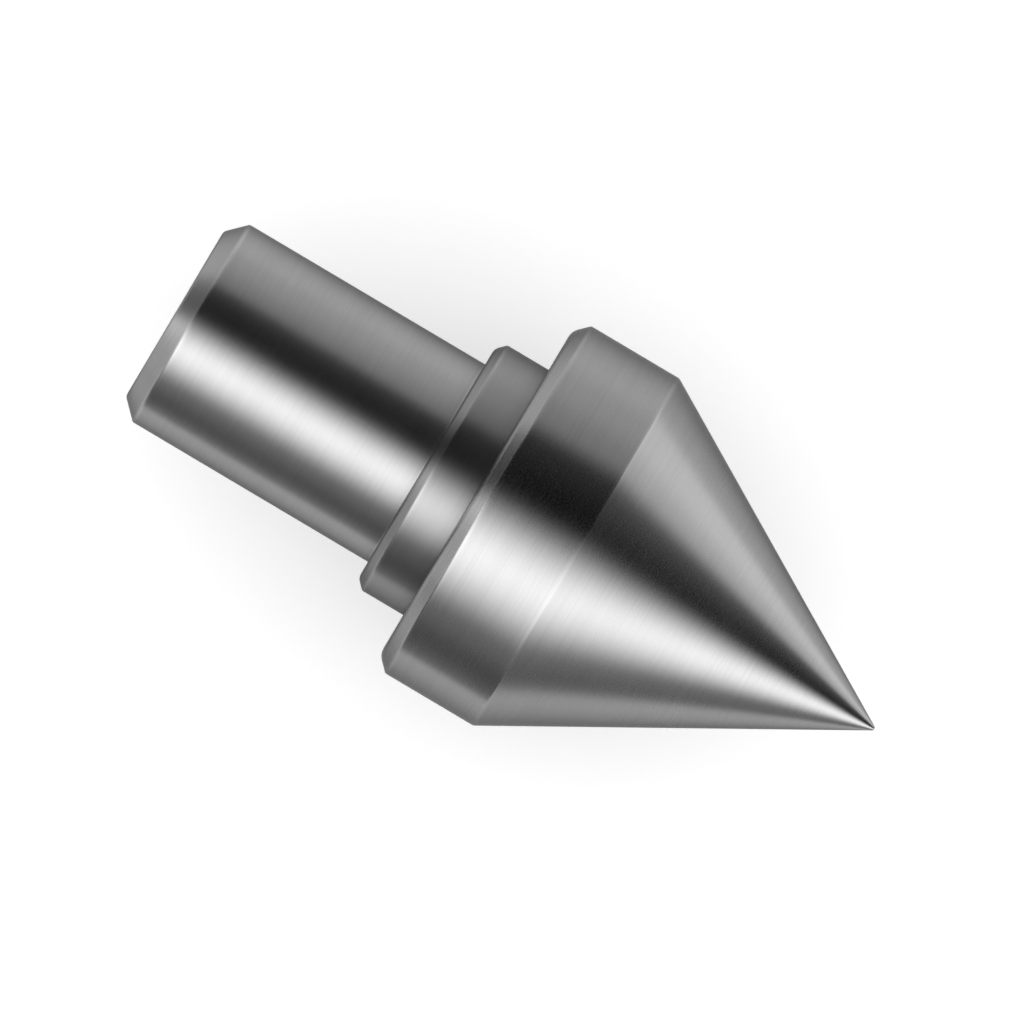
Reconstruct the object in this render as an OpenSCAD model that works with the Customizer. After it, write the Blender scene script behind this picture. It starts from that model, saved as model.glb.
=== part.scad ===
// Live center with a straight shank.
// A fixed shank housing carries a 60 degree point and its spindle in a deep groove
// ball bearing at the nose, a thrust ball bearing behind it and a small deep groove
// ball bearing at the tail. A wave spring and a nut preload the set, and a screwed
// plug closes the bore.
//
// All lengths are in millimetres. The spindle axis is X and the point looks along +X.
// X = 0 is the rear face of the collar, which stops the shank against a quill.

/* [Shank] */
// Diameter of the straight shank
shank_d = 12; // [11.8:0.1:12.4]
// Length of the shank, from the rear end to the collar
shank_l = 15.3; // [15.2:0.1:24]
// Chamfer at the rear end of the shank
shank_c = 1; // [0.4:0.1:1.4]

/* [Collar] */
// Diameter of the collar and of the nose that runs on inside the head
collar_d = 14.9; // [14.4:0.1:16.4]
// Length of the collar that shows between the shank and the head
collar_l = 3; // [2.8:0.1:3.4]
// Chamfer on the rear edge of the collar
collar_c = 0.5; // [0.2:0.05:0.7]

/* [Head and point] */
// Diameter of the turning head
head_d = 21.1; // [20:0.1:26]
// Length of the head's cylinder
head_l = 6.1; // [6:0.1:9]
// Chamfer on the rear edge of the head
head_c = 0.75; // [0.3:0.05:1.2]
// Included angle of the point, in degrees
point_angle = 60; // [60:1:75]
// Radius of the small flat that is left on the very tip
tip_r = 0.1; // [0.05:0.05:0.4]
// Running gap between the nose and the head, on the radius
labyrinth = 0.15; // [0.1:0.05:0.3]

/* [Spindle] */
// Journal diameter in the front bearing
front_journal_d = 5; // [5:1:5]
// Diameter through the thrust bearing
mid_journal_d = 4; // [4:1:4]
// Journal diameter in the rear bearing, which runs on as the nut's thread
rear_journal_d = 3; // [3:1:3]

/* [Fits] */
// Radial clearance of the rings in their seats and on their journals
seat = 0.01; // [0.005:0.005:0.02]
// Play between a ball and its raceway
ball_play = 0.01; // [0.01:0.005:0.02]

/* [Hidden] */
$fn = 96;

shank_r = shank_d / 2;
collar_r = collar_d / 2;
head_r = head_d / 2;
rear_x = -shank_l;
head_x0 = collar_l;                       // rear face of the head
head_x1 = collar_l + head_l;              // where the cone begins
cone_t = tan(point_angle / 2);
tip_x = head_x1 + (head_r - tip_r) / cone_t;

// Front deep groove ball bearing, 5 x 11 x 5
fb_d = 5;  fb_D = 11;  fb_B = 5;  fb_pcd = 8;    fb_ball = 2;      fb_n = 8;
fb_land_i = 3.35;  fb_land_o = 4.7;  fb_seat_r = 4.95;
fb_x0 = collar_l - 1;                     // rear face of the bearing
fb_x1 = fb_x0 + fb_B;
nose_x = fb_x1;                           // front end of the nose
pocket_x = nose_x + 0.3;                  // bottom of the head's recess

// Thrust ball bearing, 4 x 9 x 4
tb_D = 9;  tb_B = 4;  tb_pcd = 6.5;  tb_ball = 1.588;  tb_n = 8;
tb_x1 = fb_x0 - 0.3;
tb_x0 = tb_x1 - tb_B;
tb_xm = (tb_x0 + tb_x1) / 2;
tb_face = 0.55;                           // inner face of a washer, from the middle

// Web between the thrust bearing and the wave spring
web_x1 = tb_x0;
web_x0 = web_x1 - 1.6;
web_r = 2.3;

// Wave spring
ws_h = 0.9;  ws_t = 0.2;  ws_n = 3;  ws_ri = 2.55;  ws_ro = 3.4;

// Rear deep groove ball bearing, 3 x 7 x 3. It passes through the plug's thread.
rb_d = 3;  rb_D = 7;  rb_B = 3;  rb_pcd = 5;  rb_ball = 1.191;  rb_n = 7;
rb_land_i = 2.1;  rb_land_o = 2.9;  rb_seat_r = 3.12;
rb_x1 = web_x0 - ws_h;
rb_x0 = rb_x1 - rb_B;

// Washer, nut and the end of the spindle
cw_t = 0.5;
cw_x0 = rb_x0 - cw_t;
nut_t = 1.8;  nut_af = 5.5;
nut_x0 = cw_x0 - nut_t;
spindle_x0 = nut_x0 - 0.7;

// End plug, with a fine 8 mm thread
plug_d = 8;
plug_x0 = rear_x + 0.3;
plug_t = 2.7;
plug_af = 4;

// A turned piece: points are [along the axis, radius].
module turned(points) {
  rotate([0, 90, 0]) rotate_extrude() polygon([for (p = points) [p[1], p[0]]]);
}

// The ring-shaped track that balls of radius r roll in, centred at x on a circle of radius c.
module track(x, c, r) {
  rotate([0, 90, 0]) rotate_extrude() translate([c, x]) circle(r = r, $fn = 64);
}

// n copies round the axis, the first straight up.
module around(n) {
  for (i = [0 : n - 1]) rotate([i * 360 / n, 0, 0]) children();
}

// Inner ring of a deep groove bearing.
module inner_ring(x0, b, bore, land, pcd, ball) {
  c = 0.2;
  difference() {
    turned([[x0, bore + c], [x0, land - c / 2], [x0 + c / 2, land],
            [x0 + b - c / 2, land], [x0 + b, land - c / 2], [x0 + b, bore + c],
            [x0 + b - c, bore], [x0 + c, bore]]);
    track(x0 + b / 2, pcd / 2 + 0.02, ball / 2 + 0.02 + ball_play);
  }
}

// Outer ring of a deep groove bearing, with a step for a shield at each end.
module outer_ring(x0, b, od, land, step_r, pcd, ball) {
  c = 0.2;
  d = 0.36;
  difference() {
    turned([[x0, step_r], [x0 + d, step_r], [x0 + d, land], [x0 + b - d, land],
            [x0 + b - d, step_r], [x0 + b, step_r], [x0 + b, od - c],
            [x0 + b - c, od], [x0 + c, od], [x0, od - c]]);
    track(x0 + b / 2, pcd / 2 - 0.02, ball / 2 + 0.02 + ball_play);
  }
}

// Pressed shield: a thin disc with a dished rim. side is 1 for the front end, -1 for the rear.
module shield(face_x, side, ri, ro) {
  s = side;
  turned([[face_x - s * 0.12, ro - 0.02], [face_x - s * 0.12, ri + 0.5],
          [face_x - s * 0.16, ri + 0.3], [face_x - s * 0.16, ri],
          [face_x - s * 0.3, ri], [face_x - s * 0.3, ri + 0.42],
          [face_x - s * 0.34, ri + 0.6], [face_x - s * 0.34, ro - 0.02]]);
}

// Balls on a circle.
module balls(x, pcd, d, n) {
  around(n) translate([x, 0, pcd / 2]) sphere(d = d, $fn = 64);
}

// Crown cage: a ring on one side whose fingers reach between the balls.
module crown_cage(x, pcd, d, n, ri, ro) {
  difference() {
    turned([[x - 0.3 * d, ri], [x - 0.3 * d, ro], [x + 0.66 * d, ro], [x + 0.66 * d, ri]]);
    around(n) translate([x, 0, pcd / 2]) {
      sphere(r = d / 2 + 0.05, $fn = 64);
      rotate([0, -90, 0]) cylinder(r = d * 0.42, h = d, $fn = 48);
    }
  }
}

// Shank, collar and nose in one piece, bored from both ends down to a web.
module shank_housing() {
  color([0.58, 0.58, 0.58])
  turned([
    // outside, from the rear end forwards
    [rear_x, shank_r - shank_c], [rear_x + shank_c, shank_r], [0, shank_r],
    [0, collar_r - collar_c], [collar_c, collar_r], [nose_x - 0.3, collar_r],
    [nose_x, collar_r - 0.3],
    // front bore: bearing seat, then thrust bearing pocket
    [nose_x, fb_D / 2 + seat + 0.2], [nose_x - 0.2, fb_D / 2 + seat],
    [fb_x0 - 0.1, fb_D / 2 + seat], [fb_x0 - 0.1, tb_D / 2 + seat],
    [web_x1, tb_D / 2 + seat], [web_x1, web_r], [web_x0, web_r],
    // rear bore, which opens out to the plug's thread
    [web_x0, rb_D / 2 + seat], [plug_x0 + plug_t + 0.5, rb_D / 2 + seat],
    [plug_x0 + plug_t + 0.2, plug_d / 2 + seat], [rear_x + 0.3, plug_d / 2 + seat],
    [rear_x, plug_d / 2 + seat + 0.3]
  ]);
}

module front_bearing_outer_ring() {
  color([0.72, 0.72, 0.73]) outer_ring(fb_x0, fb_B, fb_D / 2, fb_land_o, fb_seat_r, fb_pcd, fb_ball);
}

module front_bearing_inner_ring() {
  color([0.72, 0.72, 0.73]) inner_ring(fb_x0, fb_B, fb_d / 2, fb_land_i, fb_pcd, fb_ball);
}

module front_bearing_front_shield() {
  color([0.66, 0.66, 0.67]) shield(fb_x1, 1, fb_land_i + 0.15, fb_seat_r);
}

module front_bearing_rear_shield() {
  color([0.66, 0.66, 0.67]) shield(fb_x0, -1, fb_land_i + 0.15, fb_seat_r);
}

module front_bearing_balls() {
  color([0.8, 0.8, 0.81]) balls(fb_x0 + fb_B / 2, fb_pcd, fb_ball, fb_n);
}

module front_bearing_cage() {
  color([0.6, 0.58, 0.54]) crown_cage(fb_x0 + fb_B / 2, fb_pcd, fb_ball, fb_n, 3.66, 4.36);
}

// One washer of the thrust bearing. side is 1 for the front one, -1 for the rear one.
module thrust_washer(side, ri, ro) {
  s = side;
  c = 0.15;
  difference() {
    turned([[tb_xm + s * tb_face, ri], [tb_xm + s * tb_face, ro - c],
            [tb_xm + s * (tb_face + c), ro], [tb_xm + s * (tb_B / 2 - c), ro],
            [tb_xm + s * tb_B / 2, ro - c], [tb_xm + s * tb_B / 2, ri + c],
            [tb_xm + s * (tb_B / 2 - c), ri]]);
    track(tb_xm, tb_pcd / 2, tb_ball / 2 + ball_play);
  }
}

module thrust_shaft_washer() {
  color([0.72, 0.72, 0.73]) thrust_washer(1, mid_journal_d / 2 + seat, tb_D / 2 - 0.1);
}

module thrust_housing_washer() {
  color([0.72, 0.72, 0.73]) thrust_washer(-1, mid_journal_d / 2 + 0.12, tb_D / 2);
}

module thrust_bearing_balls() {
  color([0.8, 0.8, 0.81]) balls(tb_xm, tb_pcd, tb_ball, tb_n);
}

// Flat cage with a pocket for each ball.
module thrust_bearing_cage() {
  color([0.78, 0.62, 0.32])
  difference() {
    turned([[tb_xm - 0.34, 2.25], [tb_xm - 0.34, 4.25], [tb_xm + 0.34, 4.25], [tb_xm + 0.34, 2.25]]);
    around(tb_n) translate([tb_xm, 0, tb_pcd / 2]) sphere(r = tb_ball / 2 + 0.04, $fn = 64);
  }
}

// Height of the wave spring's middle plane at angle a.
function wave(a) = (ws_h - ws_t - 0.04) / 2 * cos(ws_n * a);

// Wave spring: a flat strip bent into a ring with three crests to each side.
module preload_wave_spring() {
  n = 96;
  xm = web_x0 - ws_h / 2;
  ring = [for (i = [0 : n - 1]) let (a = i * 360 / n, w = wave(a))
    for (q = [[ws_ri, -1], [ws_ro, -1], [ws_ro, 1], [ws_ri, 1]])
      [xm + w + q[1] * ws_t / 2, q[0] * sin(a), q[0] * cos(a)]];
  faces = [for (i = [0 : n - 1]) let (j = (i + 1) % n)
    for (k = [0 : 3]) let (m = (k + 1) % 4)
      each [[i * 4 + k, i * 4 + m, j * 4 + m], [i * 4 + k, j * 4 + m, j * 4 + k]]];
  color([0.5, 0.52, 0.56]) polyhedron(points = ring, faces = faces);
}

module rear_bearing_outer_ring() {
  color([0.72, 0.72, 0.73]) outer_ring(rb_x0, rb_B, rb_D / 2, rb_land_o, rb_seat_r, rb_pcd, rb_ball);
}

module rear_bearing_inner_ring() {
  color([0.72, 0.72, 0.73]) inner_ring(rb_x0, rb_B, rb_d / 2, rb_land_i, rb_pcd, rb_ball);
}

module rear_bearing_front_shield() {
  color([0.66, 0.66, 0.67]) shield(rb_x1, 1, rb_land_i + 0.12, rb_seat_r);
}

module rear_bearing_rear_shield() {
  color([0.66, 0.66, 0.67]) shield(rb_x0, -1, rb_land_i + 0.12, rb_seat_r);
}

module rear_bearing_balls() {
  color([0.8, 0.8, 0.81]) balls(rb_x0 + rb_B / 2, rb_pcd, rb_ball, rb_n);
}

module rear_bearing_cage() {
  color([0.6, 0.58, 0.54]) crown_cage(rb_x0 + rb_B / 2, rb_pcd, rb_ball, rb_n, 2.24, 2.76);
}

// Cone, head and stepped spindle in one piece. The head's recess runs round the nose, and
// a centre hole is left in the spindle's end, from when the piece was ground.
module point_spindle() {
  color([0.62, 0.62, 0.62])
  turned([
    // spindle end and journals, from the rear forwards
    [spindle_x0 + 1, 0], [spindle_x0, 0.6], [spindle_x0, rear_journal_d / 2 - 0.3 - seat],
    [spindle_x0 + 0.3, rear_journal_d / 2 - seat], [rb_x1 + 0.2, rear_journal_d / 2 - seat],
    [rb_x1 + 0.2, mid_journal_d / 2 - 0.15 - seat], [rb_x1 + 0.35, mid_journal_d / 2 - seat],
    [tb_x1, mid_journal_d / 2 - seat], [tb_x1, front_journal_d / 2 - 0.15 - seat],
    [tb_x1 + 0.15, front_journal_d / 2 - seat], [fb_x1, front_journal_d / 2 - seat],
    // boss on the inner ring, then the recess round the nose
    [fb_x1, 3.2], [pocket_x, 3.2], [pocket_x, collar_r + labyrinth],
    [head_x0, collar_r + labyrinth],
    // outside of the head and the cone
    [head_x0, head_r - head_c], [head_x0 + head_c, head_r], [head_x1, head_r],
    [tip_x, tip_r], [tip_x, 0]
  ]);
}

// Spacer ring between the rear inner ring and the nut, clear of the shield.
module clamp_washer() {
  color([0.7, 0.7, 0.71])
  turned([[cw_x0, rear_journal_d / 2 + seat], [cw_x0, 2.1], [rb_x0 - 0.1, 2.1],
          [rb_x0, 2], [rb_x0, rear_journal_d / 2 + seat]]);
}

// Thin hexagon nut, its corners chamfered on both faces.
module spindle_nut() {
  r = nut_af / 2 / cos(30);
  color([0.6, 0.6, 0.6])
  intersection() {
    difference() {
      rotate([0, 90, 0]) translate([0, 0, nut_x0]) cylinder(r = r, h = nut_t, $fn = 6);
      rotate([0, 90, 0]) translate([0, 0, nut_x0 - 1]) cylinder(r = rear_journal_d / 2 + seat, h = nut_t + 2);
    }
    turned([[nut_x0, 0], [nut_x0, r - 0.4], [nut_x0 + 0.25, r + 0.03],
            [nut_x0 + nut_t - 0.25, r + 0.03], [nut_x0 + nut_t, r - 0.4], [nut_x0 + nut_t, 0]]);
  }
}

// Screwed plug with a hexagon socket. Its thread is left as a plain cylinder.
module end_plug() {
  r = plug_d / 2;
  color([0.5, 0.5, 0.5])
  difference() {
    turned([[plug_x0, 0], [plug_x0, r - 0.35], [plug_x0 + 0.35, r], [plug_x0 + plug_t - 0.35, r],
            [plug_x0 + plug_t, r - 0.35], [plug_x0 + plug_t, 0]]);
    rotate([0, 90, 0]) translate([0, 0, plug_x0 - 1]) cylinder(r = plug_af / 2 / cos(30), h = 1 + 1.7, $fn = 6);
    turned([[plug_x0 - 0.2, 0], [plug_x0 - 0.2, 2.65], [plug_x0 + 0.25, 2.2], [plug_x0 + 0.25, 0]]);
  }
}

shank_housing();
front_bearing_outer_ring();
front_bearing_front_shield();
front_bearing_rear_shield();
thrust_housing_washer();
preload_wave_spring();
rear_bearing_outer_ring();
rear_bearing_front_shield();
rear_bearing_rear_shield();
end_plug();
point_spindle();
front_bearing_inner_ring();
thrust_shaft_washer();
rear_bearing_inner_ring();
clamp_washer();
spindle_nut();
front_bearing_balls();
front_bearing_cage();
thrust_bearing_balls();
thrust_bearing_cage();
rear_bearing_balls();
rear_bearing_cage();
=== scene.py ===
from math import atan2, ceil, cos, hypot, pi, radians, sin, sqrt, tan

import bmesh
import bpy
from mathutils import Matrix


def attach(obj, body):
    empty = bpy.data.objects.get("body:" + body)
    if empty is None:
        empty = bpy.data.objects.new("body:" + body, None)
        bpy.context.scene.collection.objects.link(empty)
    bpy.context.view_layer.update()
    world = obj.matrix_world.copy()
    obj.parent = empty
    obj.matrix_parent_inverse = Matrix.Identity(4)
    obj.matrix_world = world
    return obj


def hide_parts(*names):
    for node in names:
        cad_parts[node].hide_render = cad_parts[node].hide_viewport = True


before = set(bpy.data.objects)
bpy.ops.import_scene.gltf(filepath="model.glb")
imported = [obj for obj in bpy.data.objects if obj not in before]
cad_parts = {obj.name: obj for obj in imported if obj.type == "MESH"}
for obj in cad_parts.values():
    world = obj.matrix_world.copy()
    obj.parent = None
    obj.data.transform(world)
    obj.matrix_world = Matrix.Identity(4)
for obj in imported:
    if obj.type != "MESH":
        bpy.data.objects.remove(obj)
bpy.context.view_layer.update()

MM = 0.001
scene = bpy.context.scene
link = scene.collection.objects.link

# ---------------------------------------------------------------- sizes, in millimetres
SHANK_R, SHANK_L, SHANK_C = 6.0, 15.3, 1.0
COLLAR_R, COLLAR_L, COLLAR_C = 7.45, 3.0, 0.5
HEAD_R, HEAD_L, HEAD_C = 10.55, 6.1, 0.75
TIP_R, GAP, SEAT = 0.1, 0.15, 0.01
REAR_X = -SHANK_L
HEAD_X0, HEAD_X1 = COLLAR_L, COLLAR_L + HEAD_L
TIP_X = HEAD_X1 + (HEAD_R - TIP_R) / tan(radians(30))
FB_X0, FB_X1 = COLLAR_L - 1, COLLAR_L + 4
NOSE_X, POCKET_X = FB_X1, FB_X1 + 0.3
TB_X1 = FB_X0 - 0.3
TB_X0 = TB_X1 - 4
TB_XM = TB_X0 + 2
WEB_X1, WEB_X0, WEB_R = TB_X0, TB_X0 - 1.6, 2.3
RB_X1 = WEB_X0 - 0.9
RB_X0 = RB_X1 - 3
CW_X0 = RB_X0 - 0.5
NUT_X0 = CW_X0 - 1.8
SPINDLE_X0 = NUT_X0 - 0.7
PLUG_X0 = REAR_X + 0.3
PLUG_X1 = PLUG_X0 + 2.7

# ---------------------------------------------------------------- camera
cam_data = bpy.data.cameras.new("camera")
cam_data.type = "ORTHO"
cam_data.ortho_scale = 1024 / 19.14 * MM
cam_data.clip_start, cam_data.clip_end = 0.01, 10
cam = bpy.data.objects.new("camera", cam_data)
link(cam)
cam.location = (5.142 * MM, 0.083 * MM, 0.3)
cam.rotation_euler = (0, 0, radians(30.7))
scene.camera = cam


# ---------------------------------------------------------------- node helpers
class Tree:
    """Short calls for building a node tree."""

    def __init__(self, tree):
        self.t = tree

    def node(self, kind, **settings):
        n = self.t.nodes.new("ShaderNode" + kind)
        for k, v in settings.items():
            setattr(n, k, v)
        return n

    def put(self, socket, value):
        if hasattr(value, "is_output"):
            self.t.links.new(value, socket)
        elif value is not None:
            socket.default_value = value

    def math(self, op, a, b=None, c=None, clamp=False):
        n = self.node("Math", operation=op, use_clamp=clamp)
        for s, v in zip(n.inputs, (a, b, c)):
            self.put(s, v)
        return n.outputs[0]

    def vec(self, op, a, b=None):
        n = self.node("VectorMath", operation=op)
        self.put(n.inputs[0], a)
        if op == "SCALE":
            self.put(n.inputs["Scale"], b)
        else:
            self.put(n.inputs[1], b)
        return n.outputs["Value"] if op in ("LENGTH", "DOT_PRODUCT") else n.outputs[0]

    def xyz(self, x, y, z):
        n = self.node("CombineXYZ")
        for s, v in zip(n.inputs, (x, y, z)):
            self.put(s, v)
        return n.outputs[0]

    def split(self, v):
        n = self.node("SeparateXYZ")
        self.put(n.inputs[0], v)
        return n.outputs

    def noise(self, vector, scale=1.0, detail=2.0, rough=0.5, dims="3D", w=None, distortion=0.0):
        n = self.node("TexNoise", noise_dimensions=dims)
        self.put(n.inputs["Vector"], vector)
        if w is not None:
            self.put(n.inputs["W"], w)
        n.inputs["Scale"].default_value = scale
        n.inputs["Detail"].default_value = detail
        n.inputs["Roughness"].default_value = rough
        n.inputs["Distortion"].default_value = distortion
        return n.outputs["Fac"]

    def ramp(self, fac, stops, interpolation="LINEAR"):
        n = self.node("ValToRGB")
        r = n.color_ramp
        r.interpolation = interpolation
        while len(r.elements) > 1:
            r.elements.remove(r.elements[-1])
        for i, (pos, c) in enumerate(stops):
            e = r.elements[0] if i == 0 else r.elements.new(pos)
            e.position = pos
            e.color = (c, c, c, 1) if isinstance(c, (int, float)) else (*c, 1)
        self.put(n.inputs[0], fac)
        return n.outputs["Color"]

    def span(self, value, a, b, lo=0.0, hi=1.0, smooth=True):
        n = self.node("MapRange", interpolation_type="SMOOTHSTEP" if smooth else "LINEAR", clamp=True)
        for s, v in zip(n.inputs, (value, a, b, lo, hi)):
            self.put(s, v)
        return n.outputs[0]

    def mix(self, fac, a, b, blend="MIX"):
        n = self.node("Mix", data_type="RGBA", blend_type=blend)
        self.put(n.inputs["Factor"], fac)
        sockets = [s for s in n.inputs if s.type == "RGBA"]
        for s, v in zip(sockets, (a, b)):
            self.put(s, (*v, 1) if isinstance(v, tuple) and len(v) == 3 else v)
        return [s for s in n.outputs if s.type == "RGBA"][0]


# ---------------------------------------------------------------- world: soft studio light
# The light comes from directions round the X axis: a soft bright strip on one side of the
# top, a black flag beside it, a black edge low down, and grey walls elsewhere.
LIGHT = [  # (degrees from straight up, towards +Y, light)
    (-180, 0.6), (-130, 0.4), (-85, 0.1), (-65, 0.2), (-26, 1.75), (10, 0.002),
    (38, 0.03), (52, 0.3), (76, 0.45), (100, 0.6), (180, 0.5),
]
LIGHT_MAX = 2.0


def studio_light(t, y, z, ahead):
    """The light from a direction or place: y and z across the X axis, ahead towards +X."""
    angle = t.math("ARCTAN2", y, t.math("MULTIPLY_ADD", t.math("MAXIMUM", ahead, 0.0), 0.29, z))
    place = t.math("MULTIPLY_ADD", angle, 1 / (2 * pi), 0.5, clamp=True)
    return t.ramp(place, [((a + 180) / 360, v / LIGHT_MAX) for a, v in LIGHT], "EASE")


world = bpy.data.worlds.new("studio")
scene.world = world
world.use_nodes = True
w = Tree(world.node_tree)
for n in list(world.node_tree.nodes):
    world.node_tree.nodes.remove(n)
dx, dy, dz = w.split(w.node("TexCoord").outputs["Generated"])
forward = w.math("MULTIPLY", w.span(dx, 0.3, 0.9), w.span(dy, 0.05, 0.4))
studio = w.node("Background")
w.put(studio.inputs["Color"], studio_light(w, dy, dz, dx))
w.put(studio.inputs["Strength"], w.math("MULTIPLY_ADD", forward, LIGHT_MAX, LIGHT_MAX))
even = w.node("Background")
even.inputs["Color"].default_value = (0.96, 0.96, 0.96, 1)
glossy = w.node("LightPath").outputs["Is Glossy Ray"]
both = w.node("MixShader")
w.put(both.inputs[0], glossy)
w.put(both.inputs[1], even.outputs[0])
w.put(both.inputs[2], studio.outputs[0])
w.put(w.node("OutputWorld").inputs["Surface"], both.outputs[0])
world.cycles.sampling_method = "NONE"

# A large soft box over the bright strip gives the floor its soft shadow.
box_light = bpy.data.lights.new("softbox", "AREA")
box_light.shape = "RECTANGLE"
box_light.size, box_light.size_y = 1.4, 0.24
box_light.energy = 0.35
lamp = bpy.data.objects.new("softbox", box_light)
link(lamp)
lamp.location = (0.005, -0.62 * sin(radians(34)), 0.62 * cos(radians(34)))
lamp.rotation_euler = (radians(-34), 0, 0)
lamp.visible_glossy = False
scene.view_settings.view_transform = "Standard"
scene.view_settings.look = "None"


# ---------------------------------------------------------------- floor
def floor_material():
    m = bpy.data.materials.new("floor_pale")
    m.use_nodes = True
    t = Tree(m.node_tree)
    p = m.node_tree.nodes["Principled BSDF"]
    co = t.node("TexCoord").outputs["Object"]
    soft = t.noise(co, 14, 3, 0.5)
    path = t.node("LightPath")
    tone = t.ramp(soft, [(0.3, 0.90), (0.7, 0.93)])
    # Painted shade: what the metal reflects of the floor is 30% darker than the floor's own colour.
    t.put(p.inputs["Base Color"], t.vec("SCALE", tone, t.math("MULTIPLY_ADD", path.outputs["Is Glossy Ray"], -0.3, 1.0)))
    p.inputs["Roughness"].default_value = 1.0
    p.inputs["Specular IOR Level"].default_value = 0.0
    lift = t.node("Emission")
    t.put(lift.inputs["Strength"], t.math("MULTIPLY", path.outputs["Is Camera Ray"], 0.3))
    total = t.node("AddShader")
    t.put(total.inputs[0], p.outputs[0])
    t.put(total.inputs[1], lift.outputs[0])
    t.put(m.node_tree.nodes["Material Output"].inputs["Surface"], total.outputs[0])
    return m


floor_mesh = bpy.data.meshes.new("floor")
bm = bmesh.new()
bmesh.ops.create_grid(bm, x_segments=24, y_segments=24, size=1.2)
bm.to_mesh(floor_mesh)
bm.free()
floor = bpy.data.objects.new("floor", floor_mesh)
link(floor)
floor.location = (0, 0, -HEAD_R * MM)
floor_mesh.materials.append(floor_material())


def unseen(name, verts, faces, material):
    """A thing that only the metal reflects, out of the camera's sight."""
    me = bpy.data.meshes.new(name)
    me.from_pydata(verts, [], faces)
    me.materials.append(material)
    o = bpy.data.objects.new(name, me)
    link(o)
    o.visible_camera = o.visible_diffuse = o.visible_shadow = False


def tent_material():
    m = bpy.data.materials.new("tent")
    m.use_nodes = True
    t = Tree(m.node_tree)
    m.node_tree.nodes.remove(m.node_tree.nodes["Principled BSDF"])
    x, y, z = t.split(t.node("TexCoord").outputs["Object"])
    ahead = t.math("SUBTRACT", x, 9 * MM)
    forward = t.math("MULTIPLY", t.span(x, 15 * MM, 40 * MM, smooth=False), t.span(y, 3 * MM, 18 * MM, smooth=False))
    glow = t.node("Emission")
    t.put(glow.inputs["Color"], studio_light(t, y, z, ahead))
    t.put(glow.inputs["Strength"], t.math("MULTIPLY_ADD", forward, 1.2 * LIGHT_MAX, LIGHT_MAX))
    t.put(m.node_tree.nodes["Material Output"].inputs["Surface"], glow.outputs[0])
    m.cycles.emission_sampling = "NONE"
    return m


def black_card():
    m = bpy.data.materials.new("black_card")
    m.use_nodes = True
    p = m.node_tree.nodes["Principled BSDF"]
    p.inputs["Base Color"].default_value = (0.02, 0.02, 0.02, 1)
    p.inputs["Specular IOR Level"].default_value = 0
    return m


# A light tent stands over the object, open at both ends, with a black card behind it.
TENT_R, TENT_N = 40, 72
tent_edge = pi / 2 + atan2(HEAD_R, sqrt(TENT_R ** 2 - HEAD_R ** 2))
tent_verts = [
    (x * MM, TENT_R * sin(g) * MM, TENT_R * cos(g) * MM)
    for x in (-60, 150) for g in (tent_edge * (2 * i / TENT_N - 1) for i in range(TENT_N + 1))
]
unseen("tent", tent_verts, [(i, i + 1, i + TENT_N + 2, i + TENT_N + 1) for i in range(TENT_N)], tent_material())
unseen(
    "card", [(-0.1, 0.005, -0.0106), (-0.1, 0.05, -0.0106), (-0.1, 0.05, 0.06), (-0.1, 0.005, 0.06)],
    [(0, 1, 2, 3)], black_card(),
)


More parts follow.
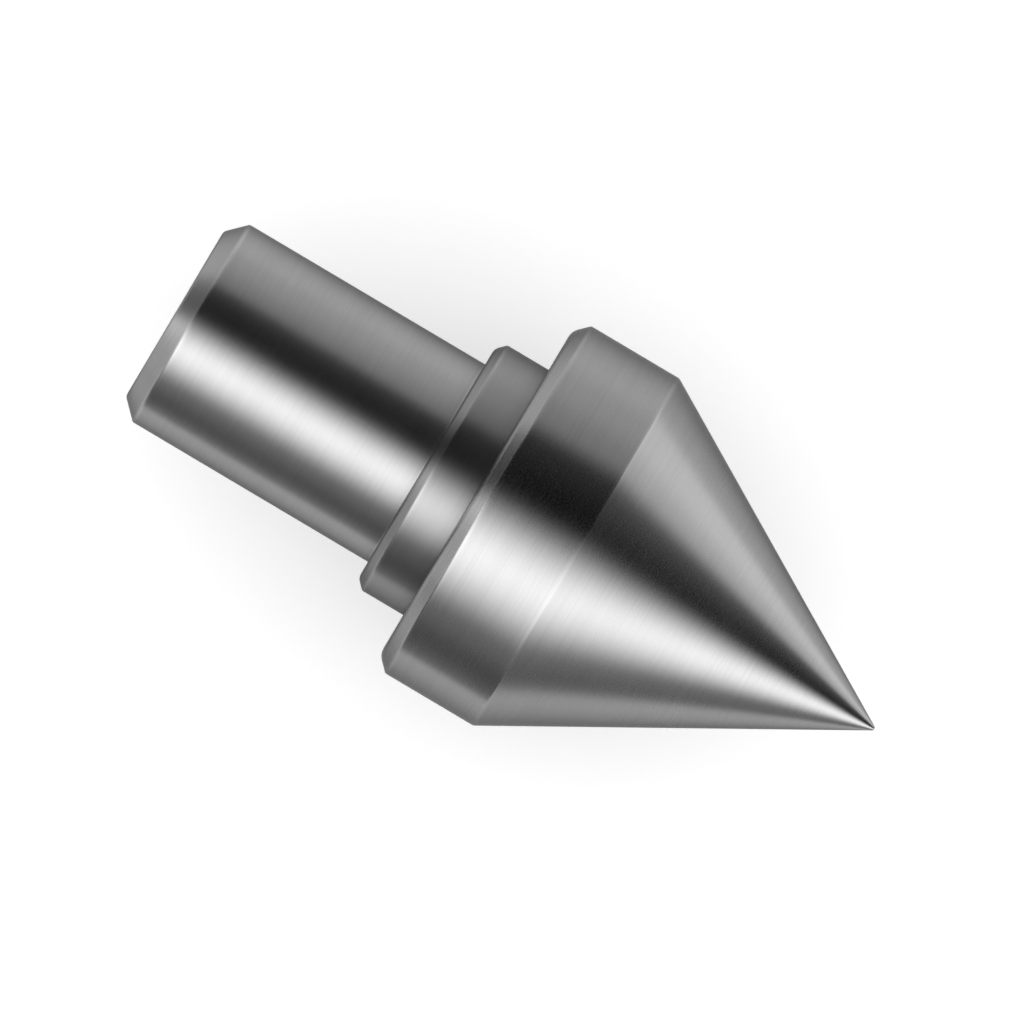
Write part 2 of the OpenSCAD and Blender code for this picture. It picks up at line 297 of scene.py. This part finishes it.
# ---------------------------------------------------------------- metals
def metal(name, base, rough, aniso=0.0, pitch=0.13, bump=2e-6, streak=0.12, tint=(1, 1, 1),
          blotch=0.04, edge=1.25, grain=0.0, painted_shade_bands=None, uneven=0.06):
    """Turned or ground metal: fine marks run round the X axis, a little uneven in depth, tone and gloss."""
    m = bpy.data.materials.new(name)
    m.use_nodes = True
    t = Tree(m.node_tree)
    p = m.node_tree.nodes["Principled BSDF"]
    co = t.node("TexCoord").outputs["Object"]
    x, y, z = t.split(co)
    r = t.vec("LENGTH", t.xyz(0.0, y, z))
    r_safe = t.math("MAXIMUM", r, 1e-6)
    k = 1 / (pitch * MM)
    # marks that run all the way round
    ring = t.noise(t.vec("SCALE", t.xyz(x, r, 0.0), k), 1.0, 1.0, 0.6, "2D")
    wide = t.noise(t.vec("SCALE", t.xyz(x, r, 0.0), k / 7), 1.0, 2.0, 0.6, "2D")
    # marks of a limited length
    cy, cz = t.math("DIVIDE", y, r_safe), t.math("DIVIDE", z, r_safe)
    short = t.noise(
        t.xyz(t.math("MULTIPLY", x, k * 1.4), t.math("MULTIPLY", cy, 3.2), t.math("MULTIPLY", cz, 3.2)),
        1.0, 2.0, 0.6, "4D", w=t.math("MULTIPLY", r, k * 1.4),
    )
    cloud = t.noise(co, 260, 3, 0.55)
    # tone
    tone = t.math("MULTIPLY_ADD", t.math("SUBTRACT", short, 0.5), streak, 1.0)
    tone = t.math("ADD", tone, t.math("MULTIPLY", t.math("SUBTRACT", ring, 0.5), streak * 0.7))
    tone = t.math("ADD", tone, t.math("MULTIPLY", t.math("SUBTRACT", wide, 0.5), streak * 0.5))
    tone = t.math("ADD", tone, t.math("MULTIPLY", t.math("SUBTRACT", cloud, 0.5), blotch))
    # Tone near rounded corners: small corners are rubbed brighter, partly a painted highlight, and the start of a large
    # one gets painted shade.
    if edge != 1.0:
        near = t.node("Attribute", attribute_name="edge").outputs["Fac"]
        wear_and_painted_light = t.math("MULTIPLY", near, t.span(cloud, 0.35, 0.65, 0.5, 1.0))
        tone = t.math("MULTIPLY", tone, t.math("MULTIPLY_ADD", wear_and_painted_light, edge - 1.0, 1.0))
    # Painted shade: stretches along X whose tone is scaled by a factor.
    for x0, x1, factor in painted_shade_bands or ():
        inside = t.math(
            "MULTIPLY",
            t.span(x, (x0 - 0.03) * MM, (x0 + 0.03) * MM),
            t.span(x, (x1 - 0.03) * MM, (x1 + 0.03) * MM, 1.0, 0.0),
        )
        tone = t.math("MULTIPLY", tone, t.math("MULTIPLY_ADD", inside, factor - 1.0, 1.0))
    colour = tuple(base * c for c in tint)
    t.put(p.inputs["Base Color"], t.vec("SCALE", t.xyz(*colour), tone))
    # gloss
    gloss = t.math("MULTIPLY_ADD", t.math("SUBTRACT", cloud, 0.5), uneven, rough)
    gloss = t.math("ADD", gloss, t.math("MULTIPLY", t.math("SUBTRACT", short, 0.5), uneven))
    t.put(p.inputs["Roughness"], t.math("MAXIMUM", gloss, 0.03))
    # relief
    height = t.math("ADD", t.math("MULTIPLY", ring, 0.65), t.math("MULTIPLY", short, 0.35))
    if grain:
        height = t.math("ADD", height, t.math("MULTIPLY", t.noise(co, 9000, 2, 0.6), grain))
    b = t.node("Bump")
    b.inputs["Strength"].default_value = 1.0
    b.inputs["Distance"].default_value = bump
    t.put(b.inputs["Height"], height)
    t.put(p.inputs["Normal"], b.outputs[0])
    p.inputs["Metallic"].default_value = 1.0
    p.inputs["Specular Tint"].default_value = (0.4, 0.4, 0.4, 1)
    if aniso:
        p.inputs["Anisotropic"].default_value = aniso
        p.inputs["Anisotropic Rotation"].default_value = 0.25
        t.put(p.inputs["Tangent"], t.node("Tangent", direction_type="RADIAL", axis="X").outputs[0])
    return m


# The collar's stretch is painted 20% darker than the shank, though both are one piece of the same steel: painted shade.
STEEL_SHANK = metal("steel_ground", 0.56, 0.33, aniso=0.75, painted_shade_bands=[(0.0, COLLAR_L + 0.2, 0.8)])
STEEL_HEAD = metal("steel_turned", 0.54, 0.27, aniso=0.75, bump=8e-7, uneven=0.03, edge=1.15)
PLUG_BLACK = metal("steel_blackened", 0.16, 0.42, aniso=0.4, pitch=0.09, streak=0.3, blotch=0.3, edge=1.9)
ZINC = metal("steel_zinc", 0.52, 0.34, pitch=0.1, streak=0.1, blotch=0.12, tint=(1, 0.99, 0.96))
RING_STEEL = metal("steel_bearing", 0.6, 0.16, aniso=0.5, pitch=0.04, bump=1.2e-6, streak=0.06)
BALL_STEEL = metal("steel_ball", 0.68, 0.05, pitch=0.05, bump=2e-7, streak=0.02, edge=1.0)
SHEET = metal("steel_shield", 0.52, 0.3, aniso=0.4, pitch=0.06, bump=2e-6, streak=0.1, edge=1.0)
CAGE = metal("steel_cage", 0.46, 0.36, pitch=0.08, bump=3e-6, streak=0.1, blotch=0.15, edge=1.0, tint=(1, 0.96, 0.9), grain=0.5)
BRASS = metal("brass_cage", 0.72, 0.28, aniso=0.5, pitch=0.07, bump=3e-6, streak=0.12, edge=1.0, tint=(1, 0.75, 0.36))
SPRING = metal("steel_spring", 0.38, 0.28, pitch=0.06, bump=2e-6, streak=0.14, blotch=0.2, edge=1.0, tint=(0.94, 1.0, 1.1))


# ---------------------------------------------------------------- mesh tools
def fillet(p0, p1, p2, r, n):
    """Points of the arc of radius r that rounds the corner p1, with their normals and an edge value:
    1 on a small corner, which is rubbed bright and partly a painted highlight, and below 0 at the start of a large one,
    which gets painted shade."""
    a = (p0[0] - p1[0], p0[1] - p1[1])
    b = (p2[0] - p1[0], p2[1] - p1[1])
    la, lb = hypot(*a), hypot(*b)
    a, b = (a[0] / la, a[1] / la), (b[0] / lb, b[1] / lb)
    c = max(-1.0, min(1.0, a[0] * b[0] + a[1] * b[1]))
    half = 0.5 * (pi - atan2(sqrt(1 - c * c), c))  # half of how far the profile turns
    cut = r * tan(half)
    limit = 0.48 * min(la, lb)
    if cut > limit:
        r *= limit / cut
        cut = limit
    turn = a[0] * b[1] - a[1] * b[0]
    start = (p1[0] + a[0] * cut, p1[1] + a[1] * cut)
    n0 = (a[1], -a[0])  # left of the incoming direction, which is -a
    n1 = (-b[1], b[0])
    side = 1.0 if turn > 0 else -1.0  # a convex corner turns right in a clockwise profile
    centre = (start[0] - n0[0] * r * side, start[1] - n0[1] * r * side)
    g0, g1 = atan2(n0[1], n0[0]), atan2(n1[1], n1[0])
    d = (g1 - g0 + pi) % (2 * pi) - pi
    out = []
    for i in range(n + 1):
        g = g0 + d * i / n
        nx, ny = cos(g), sin(g)
        # 1 on a small corner: rubbed bright, partly a painted highlight; below 0 at the start of a large one: painted
        #                      shade.
        edge = 1.0 if r < 0.28 else -1.6 * (1 - i / n) if half > 0.3 else 0.0
        out.append((centre[0] + nx * r * side, centre[1] + ny * r * side, nx, ny, edge))
    return out


def rounded(profile, closed, arc=3, guard=0.1):
    """profile is [(x, r, fillet radius)]. Returns [(x, r, nx, nr, edge)], the profile with rounded corners."""
    n = len(profile)
    pts = []
    for i, p in enumerate(profile):
        if not closed and i in (0, n - 1):
            q = profile[1] if i == 0 else profile[n - 2]
            d = (q[0] - p[0], q[1] - p[1]) if i == 0 else (p[0] - q[0], p[1] - q[1])
            length = hypot(*d)
            pts.append([(p[0], p[1], -d[1] / length, d[0] / length, 0.0)])
            continue
        r = p[2] if len(p) > 2 else 0.03
        pts.append(fillet(profile[(i - 1) % n][:2], p[:2], profile[(i + 1) % n][:2], r, arc))
    out = []
    for i in range(n):
        out += pts[i]
        if i == n - 1 and not closed:
            break
        a, b = pts[i][-1], pts[(i + 1) % n][0]
        length = hypot(b[0] - a[0], b[1] - a[1])
        nx, ny = -(b[1] - a[1]) / max(length, 1e-9), (b[0] - a[0]) / max(length, 1e-9)
        steps = [s for s in (guard, length - guard) if length > 2.5 * guard]
        inner = max(0, int(length / 1.5) - 1) if steps else 0
        spots = steps[:1] + [guard + (length - 2 * guard) * (j + 1) / (inner + 1) for j in range(inner)] + steps[1:]
        for s in spots:
            f = s / length
            out.append((a[0] + (b[0] - a[0]) * f, a[1] + (b[1] - a[1]) * f, nx, ny, 0.0))
    return out


def arc(cx, cr, rad, a0, a1, n=8, lip=0.03):
    """Corners round a circle of radius rad, which rounded() turns back into an arc."""
    d = (a1 - a0) / n
    out = [(cx + rad * cos(a0), cr + rad * sin(a0), lip)]
    for i in range(n):
        g, far = a0 + d * (i + 0.5), rad / cos(d / 2)
        out.append((cx + far * cos(g), cr + far * sin(g), rad))
    return out + [(cx + rad * cos(a1), cr + rad * sin(a1), lip)]


class Skin:
    """A mesh in the making, in millimetres round the X axis. Points that fall together become one."""

    def __init__(self, n=256):
        self.n = n
        self.verts, self.normals, self.edges, self.faces, self.found = [], [], [], [], {}

    def point(self, x, r, j, normal=None, edge=0.0):
        g = 2 * pi * (j % self.n) / self.n
        c, s = cos(g), sin(g)
        p = (x * MM, r * c * MM, r * s * MM)
        key = tuple(round(v * 1e8) for v in p)
        if key not in self.found:
            self.found[key] = len(self.verts)
            self.verts.append(p)
            self.normals.append(None if normal is None else (normal[0], normal[1] * c, normal[1] * s))
            self.edges.append(edge)
        return self.found[key]

    def face(self, ids):
        ids = [v for q, v in enumerate(ids) if v != ids[q - 1]]
        if len(set(ids)) > 2:
            self.faces.append(ids)

    def ring(self, x, r, normal=None, edge=0.0):
        """x and r are numbers, or functions of the step round the axis."""
        at = lambda v, j: v(j) if callable(v) else v
        return [self.point(at(x, j), at(r, j), j, normal, edge) for j in range(self.n)]

    def bridge(self, a, b):
        for j in range(self.n):
            k = (j + 1) % self.n
            self.face([a[j], a[k], b[k], b[j]])

    def loft(self, rings, closed=False):
        for a, b in zip(rings, rings[1:] + rings[:1] if closed else rings[1:]):
            self.bridge(a, b)

    def turn(self, profile, closed=False, arc_steps=3):
        """Turns a profile with rounded corners, and gives its points their exact normals."""
        rings = []
        for x, r, nx, nr, e in rounded(profile, closed, arc_steps):
            rings.append(self.ring(x, max(r, 0.0), ((1.0 if nx > 0 else -1.0), 0) if r < 1e-6 else (nx, nr), e))
        self.loft(rings, closed)

    def thread(self, x0, x1, root, crest, pitch, ends, inside=False, k=8):
        """A right-hand screw thread from x0 to x1. Both its ends run out to the radius given."""
        shape = (0, 0, 1 / 3, 2 / 3, 1, 1, 2 / 3, 1 / 3)
        j0, j1 = int(x0 // (pitch / k)) - k - 1, ceil(x1 / pitch * k) + k + 1
        rows = {}
        for j in range(j0, j1 + 1):
            flank = root + (crest - root) * shape[j % k]
            row = []
            for i in range(self.n):
                x = min(max(pitch * (j / k + i / self.n), x0), x1)
                near = min(x - x0, x1 - x)
                r = max(flank, ends - near) if inside else min(flank, ends + near)
                row.append(self.point(x, r, i, None, 1.0 if shape[j % k] == (0 if inside else 1) else 0.0))
            rows[j] = row
        for j in range(j0, j1):
            for i in range(self.n):
                if i < self.n - 1:
                    b, c = rows[j][i + 1], rows[j + 1][i + 1]
                elif j + 1 + k <= j1:
                    b, c = rows[j + k][0], rows[j + 1 + k][0]
                else:
                    continue
                f = [rows[j][i], b, c, rows[j + 1][i]]
                self.face(f[::-1] if inside else f)

    def make(self, name, material, sharp=None):
        """sharp is the angle in degrees past which an edge stays crisp, for a mesh without exact normals."""
        me = bpy.data.meshes.new(name)
        me.from_pydata(self.verts, [], self.faces)
        me.polygons.foreach_set("use_smooth", [True] * len(me.polygons))
        me.attributes.new("edge", "FLOAT", "POINT").data.foreach_set("value", self.edges)
        if sharp is None:
            sums = [[0.0, 0.0, 0.0] for _ in self.verts]
            for f in me.polygons:
                if any(self.normals[v] is None for v in f.vertices):
                    for v in f.vertices:
                        for c in range(3):
                            sums[v][c] += f.normal[c] * f.area
            for i, n in enumerate(self.normals):
                if n is None:
                    size = sqrt(sum(c * c for c in sums[i])) or 1.0
                    self.normals[i] = tuple(c / size for c in sums[i])
            me.normals_split_custom_set_from_vertices(self.normals)
        else:
            me.set_sharp_from_angle(angle=radians(sharp))
        me.materials.append(material)
        o = bpy.data.objects.new(name, me)
        link(o)
        return o


def stand_for(o, body, slot, *nodes):
    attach(o, body)
    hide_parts(*nodes)
    return o


# ---------------------------------------------------------------- shank and point
PLUG_PITCH, NUT_PITCH = 0.75, 0.5
housing = Skin(256)
mouth, inner = REAR_X + 0.3, PLUG_X1 + 0.2
housing.turn([
    (mouth, 4.04), (REAR_X, 4 + SEAT + 0.3, 0.04),
    (REAR_X, SHANK_R - SHANK_C, 0.4), (REAR_X + SHANK_C, SHANK_R, 0.2), (0, SHANK_R, 0.05),
    (0, COLLAR_R - COLLAR_C, 0.55), (COLLAR_C, COLLAR_R, 0.15), (NOSE_X - 0.3, COLLAR_R, 0.05),
    (NOSE_X, COLLAR_R - 0.3, 0.05),
    (NOSE_X, 5.5 + SEAT + 0.2, 0.03), (NOSE_X - 0.2, 5.5 + SEAT, 0.03),
    (FB_X0 - 0.1, 5.5 + SEAT, 0.03), (FB_X0 - 0.1, 4.5 + SEAT, 0.03),
    (WEB_X1, 4.5 + SEAT, 0.03), (WEB_X1, WEB_R, 0.05), (WEB_X0, WEB_R, 0.05),
    (WEB_X0, 3.5 + SEAT, 0.03), (PLUG_X1 + 0.5, 3.5 + SEAT, 0.03), (inner, 4.04),
])
housing.thread(mouth, inner, 3.58, 4.01, PLUG_PITCH, 4.04, inside=True)
stand_for(housing.make("shank_and_collar", STEEL_SHANK), "shank", "ground_steel", "shank_housing")

point = Skin(256)
thread_x0, thread_x1 = SPINDLE_X0 + 0.1, CW_X0 - 0.1
point.turn([(SPINDLE_X0 + 1, 0), (SPINDLE_X0, 0.6, 0.03), (SPINDLE_X0, 1.1, 0.03), (thread_x0, 1.2)])
point.thread(thread_x0, thread_x1, 1.23, 1.48, NUT_PITCH, 1.2)
point.turn([
    (thread_x1, 1.2), (CW_X0 + 0.1, 1.2, 0.04), (CW_X0 + 0.39, 1.5 - SEAT, 0.02), (RB_X1 + 0.2, 1.5 - SEAT, 0.04),
    (RB_X1 + 0.2, 2 - 0.15 - SEAT, 0.02), (RB_X1 + 0.35, 2 - SEAT, 0.02),
    (TB_X1, 2 - SEAT, 0.04), (TB_X1, 2.5 - 0.15 - SEAT, 0.02),
    (TB_X1 + 0.15, 2.5 - SEAT, 0.02), (FB_X1, 2.5 - SEAT, 0.04),
    (FB_X1, 3.2, 0.03), (POCKET_X, 3.2, 0.06), (POCKET_X, COLLAR_R + GAP, 0.08),
    (HEAD_X0, COLLAR_R + GAP, 0.05), (HEAD_X0, HEAD_R - HEAD_C, 0.8),
    (HEAD_X0 + HEAD_C, HEAD_R, 0.2), (HEAD_X1, HEAD_R, 0.27),
    (TIP_X, TIP_R, 0.08), (TIP_X, 0),
])
stand_for(point.make("head_and_point", STEEL_HEAD), "spindle", "turned_steel", "point_spindle")


# ---------------------------------------------------------------- plug and nut
def hexagon(n, flat, corner):
    """Half the width across a hexagon at a step round the axis, its corners cut back to a radius."""
    def at(j):
        g = (2 * pi * j / n + pi / 6) % (pi / 3) - pi / 6
        return min(flat / cos(g), corner)
    return at


plug = Skin(192)
socket = hexagon(192, 2.0, 2.27)
lead = 3.5
plug.loft([
    plug.ring(PLUG_X0, lead), plug.ring(PLUG_X0, 2.7), plug.ring(PLUG_X0, 2.49, None, 0.5), plug.ring(PLUG_X0 + 0.02, 2.44, None, 1.0),
    plug.ring(lambda j: PLUG_X0 + 0.04 + (2.42 - socket(j)) * 0.9, lambda j: socket(j) + 0.02, None, 1.0),
    plug.ring(lambda j: PLUG_X0 + 0.07 + (2.42 - socket(j)) * 0.9, socket, None, 0.6),
    plug.ring(PLUG_X0 + 0.62, socket), plug.ring(PLUG_X0 + 1.1, socket), plug.ring(PLUG_X0 + 1.62, socket),
    plug.ring(PLUG_X0 + 1.7, lambda j: socket(j) - 0.08), plug.ring(PLUG_X0 + 1.7, 1.75),
    plug.ring(PLUG_X0 + 1.74, 1.7), plug.ring(PLUG_X0 + 2.2, 0.85), plug.ring(PLUG_X0 + 2.35, 0.0),
][::-1])
plug.thread(PLUG_X0, PLUG_X1, 3.55, 3.98, PLUG_PITCH, lead)
plug.loft([
    plug.ring(PLUG_X1, lead), plug.ring(PLUG_X1, 3.3), plug.ring(PLUG_X1, 2.0), plug.ring(PLUG_X1, 0.5), plug.ring(PLUG_X1, 0.0),
])
stand_for(plug.make("plug", PLUG_BLACK, 32), "shank", "plug_steel", "end_plug")

nut = Skin(192)
wide = hexagon(192, 2.74, 3.1)
NUT_X1 = NUT_X0 + 1.8
drop = lambda j: max(0.0, wide(j) - 2.62) * 0.55
nut.loft([
    nut.ring(NUT_X0 + 0.25, 1.52), nut.ring(NUT_X0, 1.77, None, 0.6), nut.ring(NUT_X0, 1.85), nut.ring(NUT_X0, 2.5),
    nut.ring(NUT_X0, 2.62, None, 0.6), nut.ring(lambda j: NUT_X0 + drop(j), wide, None, 1.0),
    nut.ring(lambda j: NUT_X0 + drop(j) + 0.06, wide), nut.ring(NUT_X0 + 0.9, wide),
    nut.ring(lambda j: NUT_X1 - drop(j) - 0.06, wide), nut.ring(lambda j: NUT_X1 - drop(j), wide, None, 1.0),
    nut.ring(NUT_X1, 2.62, None, 0.6), nut.ring(NUT_X1, 2.5), nut.ring(NUT_X1, 1.85), nut.ring(NUT_X1, 1.77, None, 0.6),
    nut.ring(NUT_X1 - 0.25, 1.52),
])
nut.thread(NUT_X0 + 0.25, NUT_X1 - 0.25, 1.25, 1.505, NUT_PITCH, 1.52, inside=True)
stand_for(nut.make("nut", ZINC, 32), "spindle", "fastener_steel", "spindle_nut")

washer = Skin(128)
washer.turn([
    (CW_X0, 1.5 + SEAT, 0.05), (CW_X0, 2.1, 0.06), (RB_X0 - 0.1, 2.1, 0.04), (RB_X0, 2.0, 0.03), (RB_X0, 1.5 + SEAT, 0.05),
], closed=True)
stand_for(washer.make("washer", ZINC), "spindle", "fastener_steel", "clamp_washer")


# ---------------------------------------------------------------- bearings
def inner_ring(name, node, x0, b, bore, land, pcd, ball):
    xm, cr, rad, c = x0 + b / 2, pcd / 2 + 0.02, ball / 2 + 0.03, 0.2
    half = sqrt(rad ** 2 - (cr - land) ** 2)
    g = atan2(half, cr - land)
    skin = Skin(192)
    skin.turn([
        (x0, bore + c, 0.06), (x0, land - c / 2, 0.04), (x0 + c / 2, land, 0.04),
        *arc(xm, cr, rad, -pi / 2 - g, -pi / 2 + g),
        (x0 + b - c / 2, land, 0.04), (x0 + b, land - c / 2, 0.04), (x0 + b, bore + c, 0.06),
        (x0 + b - c, bore, 0.06), (x0 + c, bore, 0.06),
    ], closed=True)
    stand_for(skin.make(name, RING_STEEL), "spindle", "bearing_steel", node)


def outer_ring(name, node, x0, b, od, land, step, pcd, ball):
    xm, cr, rad, c, d = x0 + b / 2, pcd / 2 - 0.02, ball / 2 + 0.03, 0.2, 0.36
    half = sqrt(rad ** 2 - (land - cr) ** 2)
    g = atan2(half, land - cr)
    skin = Skin(192)
    skin.turn([
        (x0, step, 0.03), (x0, od - c, 0.06), (x0 + c, od, 0.06), (x0 + b - c, od, 0.06), (x0 + b, od - c, 0.06),
        (x0 + b, step, 0.03), (x0 + b - d, step, 0.03), (x0 + b - d, land, 0.03),
        *arc(xm, cr, rad, pi / 2 - g, pi / 2 + g),
        (x0 + d, land, 0.03), (x0 + d, step, 0.03),
    ], closed=True)
    stand_for(skin.make(name, RING_STEEL), "shank", "bearing_steel", node)


def shield(name, node, face, side, ri, ro):
    """A pressed disc: its rim lies deeper than its middle, and its inner edge is turned in."""
    pts = [
        (0.12, ro - 0.02, 0.04), (0.12, ri + 0.55, 0.08), (0.2, ri + 0.4, 0.08), (0.16, ri + 0.24, 0.06), (0.16, ri, 0.05),
        (0.3, ri, 0.05), (0.3, ri + 0.36, 0.06), (0.34, ri + 0.5, 0.08), (0.34, ro - 0.02, 0.04),
    ]
    pts = [(face - side * d, r, f) for d, r, f in pts]
    skin = Skin(192)
    skin.turn(pts if side > 0 else pts[::-1], closed=True)
    stand_for(skin.make(name, SHEET), "shank", "shield_sheet", node)


def ball_set(name, node, body, x, pcd, d, n):
    bm = bmesh.new()
    for i in range(n):
        g = 2 * pi * i / n
        made = bmesh.ops.create_icosphere(bm, subdivisions=4, radius=d / 2 * MM)["verts"]
        bmesh.ops.translate(bm, verts=made, vec=(x * MM, -pcd / 2 * sin(g) * MM, pcd / 2 * cos(g) * MM))
    me = bpy.data.meshes.new(name)
    bm.to_mesh(me)
    bm.free()
    me.polygons.foreach_set("use_smooth", [True] * len(me.polygons))
    me.materials.append(BALL_STEEL)
    o = bpy.data.objects.new(name, me)
    link(o)
    stand_for(o, body, "ball_steel", node)


inner_ring("front_inner_ring", "front_bearing_inner_ring", FB_X0, 5, 2.5, 3.35, 8, 2)
outer_ring("front_outer_ring", "front_bearing_outer_ring", FB_X0, 5, 5.5, 4.7, 4.95, 8, 2)
shield("front_shield_outer", "front_bearing_front_shield", FB_X1, 1, 3.5, 4.95)
shield("front_shield_inner", "front_bearing_rear_shield", FB_X0, -1, 3.5, 4.95)
ball_set("front_balls", "front_bearing_balls", "front_ball_set", FB_X0 + 2.5, 8, 2, 8)
inner_ring("rear_inner_ring", "rear_bearing_inner_ring", RB_X0, 3, 1.5, 2.1, 5, 1.191)
outer_ring("rear_outer_ring", "rear_bearing_outer_ring", RB_X0, 3, 3.5, 2.9, 3.12, 5, 1.191)
shield("rear_shield_outer", "rear_bearing_rear_shield", RB_X0, -1, 2.22, 3.12)
shield("rear_shield_inner", "rear_bearing_front_shield", RB_X1, 1, 2.22, 3.12)
ball_set("rear_balls", "rear_bearing_balls", "rear_ball_set", RB_X0 + 1.5, 5, 1.191, 7)

# Thrust bearing: two grooved washers with balls between them.
t_rad, t_face, t_c = 1.588 / 2 + 0.01, 0.55, 0.15
t_g = atan2(sqrt(t_rad ** 2 - t_face ** 2), t_face)
turning = Skin(192)
turning.turn([
    (TB_XM + t_face, 2.0 + SEAT, 0.04), *arc(TB_XM, 3.25, t_rad, -t_g, t_g),
    (TB_XM + t_face, 4.4 - t_c, 0.04), (TB_XM + t_face + t_c, 4.4, 0.04), (TB_X1 - t_c, 4.4, 0.04),
    (TB_X1, 4.4 - t_c, 0.04), (TB_X1, 2.0 + SEAT + t_c, 0.04), (TB_X1 - t_c, 2.0 + SEAT, 0.04),
], closed=True)
stand_for(turning.make("thrust_turning_washer", RING_STEEL), "spindle", "bearing_steel", "thrust_shaft_washer")
still = Skin(192)
still.turn([
    (TB_X0, 2.12 + t_c, 0.04), (TB_X0, 4.5 - t_c, 0.04), (TB_X0 + t_c, 4.5, 0.04), (TB_XM - t_face - t_c, 4.5, 0.04),
    (TB_XM - t_face, 4.5 - t_c, 0.04), *arc(TB_XM, 3.25, t_rad, pi - t_g, pi + t_g),
    (TB_XM - t_face, 2.12, 0.04), (TB_X0 + t_c, 2.12, 0.04),
], closed=True)
stand_for(still.make("thrust_still_washer", RING_STEEL), "shank", "bearing_steel", "thrust_housing_washer")
ball_set("thrust_balls", "thrust_bearing_balls", "thrust_ball_set", TB_XM, 6.5, 1.588, 8)

# Wave spring: a flat strip bent into a ring with three crests to each side.
spring = Skin(240)
ws_x, ws_lift, ws_t = WEB_X0 - 0.45, 0.33, 0.1
strip = [
    (-ws_t, 2.61), (-ws_t, 2.98), (-ws_t, 3.34), (-ws_t * 0.7, 3.385), (0.0, 3.4), (ws_t * 0.7, 3.385), (ws_t, 3.34),
    (ws_t, 2.98), (ws_t, 2.61), (ws_t * 0.7, 2.565), (0.0, 2.55), (-ws_t * 0.7, 2.565),
]
wave = lambda j: ws_x + ws_lift * cos(3 * (2 * pi * j / 240 - pi / 2))
spring.loft([spring.ring(lambda j, d=d: wave(j) + d, r) for d, r in strip], closed=True)
stand_for(spring.make("wave_spring", SPRING, 40), "shank", "spring_steel", "preload_wave_spring")

# ---------------------------------------------------------------- carried-over pieces
CARRIED = {"front_bearing_cage": CAGE, "rear_bearing_cage": CAGE, "thrust_bearing_cage": BRASS}
for node, material in CARRIED.items():
    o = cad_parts[node]
    for slot in o.material_slots:
        slot.link = "OBJECT"
        slot.material = material
